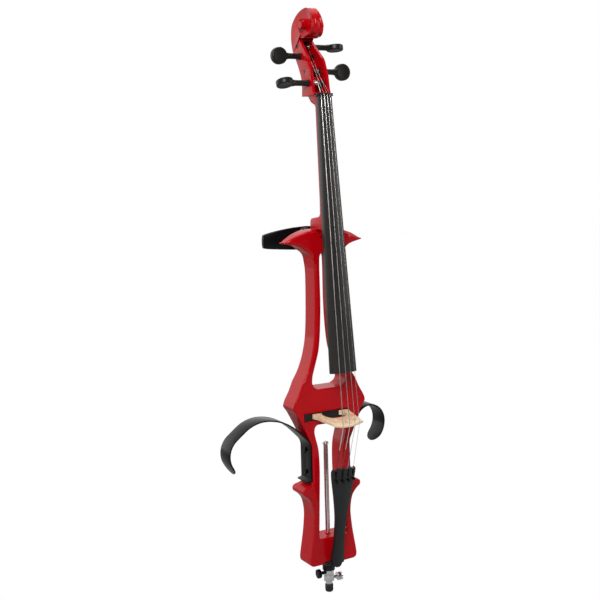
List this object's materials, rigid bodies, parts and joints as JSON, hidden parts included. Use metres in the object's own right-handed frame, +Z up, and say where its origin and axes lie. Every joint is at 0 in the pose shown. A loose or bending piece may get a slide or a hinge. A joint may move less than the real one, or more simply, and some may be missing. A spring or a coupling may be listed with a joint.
{
  "type": "electric cello",
  "caption": "Electric cello with an open red frame body, scroll head, turning pegs, bridge pickup, black tailpiece, bent leg rests, chest rest and telescopic endpin.",
  "frame": {"origin": "lowest point of the endpin foot, on the endpin axis", "axes": "+Z up along the endpin and the strings, -Y out of the front (the strings), +X to the A string side as seen from the front"},
  "size_m": [0.3787, 0.2004, 1.2568],
  "materials": {
    "red_lacquer": "high gloss red lacquer over wood",
    "ebony": "satin black wood",
    "maple": "bare satin maple",
    "string_metal": "fine wound metal",
    "bright_steel": "polished",
    "black_metal": "glossy black coating",
    "black_plastic": "matte",
    "rubber": "matte",
    "brass": "plain",
    "foam": "soft matte pad",
    "board_green": "solder mask",
    "battery_case": "satin"
  },
  "bodies": {
    "instrument": {"body_frame": "red_lacquer", "neck": "red_lacquer", "nut": "ebony", "fingerboard": "ebony", "string_c": "string_metal", "string_g": "string_metal", "string_d": "string_metal", "string_a": "string_metal", "bridge": "maple", "pickup_bar": "ebony", "pickup_element": "black_plastic", "tailpiece": "ebony", "tail_gut": "black_plastic", "saddle": "ebony", "endpin_plug": "ebony", "upper_collar": "bright_steel", "leg_rest_left": "black_metal", "leg_rest_right": "black_metal", "leg_rest_screws": "black_metal", "leg_rest_inserts": "brass", "chest_bracket": "black_metal", "bracket_screws": "bright_steel", "back_panel": "black_plastic", "panel_screws": "bright_steel", "preamp_board": "board_green", "controls": "bright_steel", "switch_housing": "bright_steel", "battery_box": "black_plastic", "battery": "battery_case", "output_jack": "bright_steel", "headphone_jack": "bright_steel", "leads": "black_plastic"},
    "peg_c": {"peg_c": "ebony"},
    "peg_g": {"peg_g": "ebony"},
    "peg_d": {"peg_d": "ebony"},
    "peg_a": {"peg_a": "ebony"},
    "tuner_screw_c": {"tuner_screw_c": "black_metal"},
    "tuner_lever_c": {"tuner_lever_c": "black_metal"},
    "tuner_screw_g": {"tuner_screw_g": "black_metal"},
    "tuner_lever_g": {"tuner_lever_g": "black_metal"},
    "tuner_screw_d": {"tuner_screw_d": "black_metal"},
    "tuner_lever_d": {"tuner_lever_d": "black_metal"},
    "tuner_screw_a": {"tuner_screw_a": "black_metal"},
    "tuner_lever_a": {"tuner_lever_a": "black_metal"},
    "endpin_tube": {"endpin_tube": "bright_steel", "tube_cap": "bright_steel", "lower_collar": "bright_steel"},
    "endpin_rod": {"endpin_rod": "bright_steel", "rubber_foot": "rubber"},
    "thumbscrew_left": {"thumbscrew_left": "black_metal"},
    "thumbscrew_right": {"thumbscrew_right": "bright_steel"},
    "chest_rest": {"chest_rest": "black_metal", "chest_foot": "black_metal", "chest_pad": "foam"},
    "chest_knob_left": {"chest_knob_left": "black_metal"},
    "chest_knob_right": {"chest_knob_right": "black_metal"},
    "volume_knob": {"volume_knob": "black_plastic"},
    "tone_knob": {"tone_knob": "black_plastic"},
    "switch_slider": {"switch_slider": "black_plastic"},
    "battery_door": {"battery_door": "black_plastic"}
  },
  "joints": [
    {"name": "peg_c_turn", "type": "hinge", "parent": "instrument", "child": "peg_c", "pos_m": [0, -0.0061, 1.0928], "axis": [1, 0, 0], "continuous": true},
    {"name": "peg_g_turn", "type": "hinge", "parent": "instrument", "child": "peg_g", "pos_m": [0, 0.031, 1.1536], "axis": [1, 0, 0], "continuous": true},
    {"name": "peg_d_turn", "type": "hinge", "parent": "instrument", "child": "peg_d", "pos_m": [0, 0.0445, 1.1759], "axis": [1, 0, 0], "continuous": true},
    {"name": "peg_a_turn", "type": "hinge", "parent": "instrument", "child": "peg_a", "pos_m": [0, 0.0091, 1.1193], "axis": [1, 0, 0], "continuous": true},
    {"name": "tuner_c_turn", "type": "hinge", "parent": "instrument", "child": "tuner_screw_c", "pos_m": [-0.021, -0.07125, 0.26154], "axis": [0, -0.9826, -0.1857], "range_deg": [0, 1080]},
    {"name": "tuner_c_lever", "type": "hinge", "parent": "instrument", "child": "tuner_lever_c", "pos_m": [-0.021, -0.07129, 0.27578], "axis": [1, 0, 0], "range_deg": [0, 5]},
    {"name": "tuner_g_turn", "type": "hinge", "parent": "instrument", "child": "tuner_screw_g", "pos_m": [-0.007, -0.07125, 0.26154], "axis": [0, -0.9826, -0.1857], "range_deg": [0, 1080]},
    {"name": "tuner_g_lever", "type": "hinge", "parent": "instrument", "child": "tuner_lever_g", "pos_m": [-0.007, -0.07129, 0.27578], "axis": [1, 0, 0], "range_deg": [0, 5]},
    {"name": "tuner_d_turn", "type": "hinge", "parent": "instrument", "child": "tuner_screw_d", "pos_m": [0.007, -0.07125, 0.26154], "axis": [0, -0.9826, -0.1857], "range_deg": [0, 1080]},
    {"name": "tuner_d_lever", "type": "hinge", "parent": "instrument", "child": "tuner_lever_d", "pos_m": [0.007, -0.07129, 0.27578], "axis": [1, 0, 0], "range_deg": [0, 5]},
    {"name": "tuner_a_turn", "type": "hinge", "parent": "instrument", "child": "tuner_screw_a", "pos_m": [0.021, -0.07125, 0.26154], "axis": [0, -0.9826, -0.1857], "range_deg": [0, 1080]},
    {"name": "tuner_a_lever", "type": "hinge", "parent": "instrument", "child": "tuner_lever_a", "pos_m": [0.021, -0.07129, 0.27578], "axis": [1, 0, 0], "range_deg": [0, 5]},
    {"name": "endpin_tube_slide", "type": "slide", "parent": "instrument", "child": "endpin_tube", "axis": [0, 0, -1], "range_m": [0, 0.18]},
    {"name": "endpin_rod_slide", "type": "slide", "parent": "endpin_tube", "child": "endpin_rod", "axis": [0, 0, -1], "range_m": [0, 0.24]},
    {"name": "thumbscrew_left_turn", "type": "hinge", "parent": "instrument", "child": "thumbscrew_left", "pos_m": [0, 0, 0.0428], "axis": [-1, 0, 0], "range_deg": [0, 360]},
    {"name": "thumbscrew_right_turn", "type": "hinge", "parent": "endpin_tube", "child": "thumbscrew_right", "pos_m": [0, 0, 0.0285], "axis": [1, 0, 0], "range_deg": [0, 360]},
    {"name": "chest_rest_slide", "type": "slide", "parent": "instrument", "child": "chest_rest", "axis": [0, 1, 0], "range_m": [-0.004, 0.006]},
    {"name": "chest_knob_left_turn", "type": "hinge", "parent": "instrument", "child": "chest_knob_left", "pos_m": [-0.0155, 0.0385, 0.775], "axis": [0, 0, 1], "range_deg": [0, 360]},
    {"name": "chest_knob_right_turn", "type": "hinge", "parent": "instrument", "child": "chest_knob_right", "pos_m": [0.0155, 0.0385, 0.775], "axis": [0, 0, 1], "range_deg": [0, 360]},
    {"name": "volume_knob_turn", "type": "hinge", "parent": "instrument", "child": "volume_knob", "pos_m": [-0.04, 0.0245, 0.414], "axis": [0, 1, 0], "range_deg": [-150, 150]},
    {"name": "tone_knob_turn", "type": "hinge", "parent": "instrument", "child": "tone_knob", "pos_m": [-0.013, 0.0245, 0.414], "axis": [0, 1, 0], "range_deg": [-150, 150]},
    {"name": "power_switch_slide", "type": "slide", "parent": "instrument", "child": "switch_slider", "axis": [1, 0, 0], "range_m": [0, 0.003]},
    {"name": "battery_door_hinge", "type": "hinge", "parent": "instrument", "child": "battery_door", "pos_m": [0, 0.0232, 0.383], "axis": [-1, 0, 0], "range_deg": [0, 85]}
  ],
  "couplings": [
    {"joint": "tuner_c_lever", "follows": "tuner_c_turn", "ratio": 0.0046296},
    {"joint": "tuner_g_lever", "follows": "tuner_g_turn", "ratio": 0.0046296},
    {"joint": "tuner_d_lever", "follows": "tuner_d_turn", "ratio": 0.0046296},
    {"joint": "tuner_a_lever", "follows": "tuner_a_turn", "ratio": 0.0046296}
  ]
}
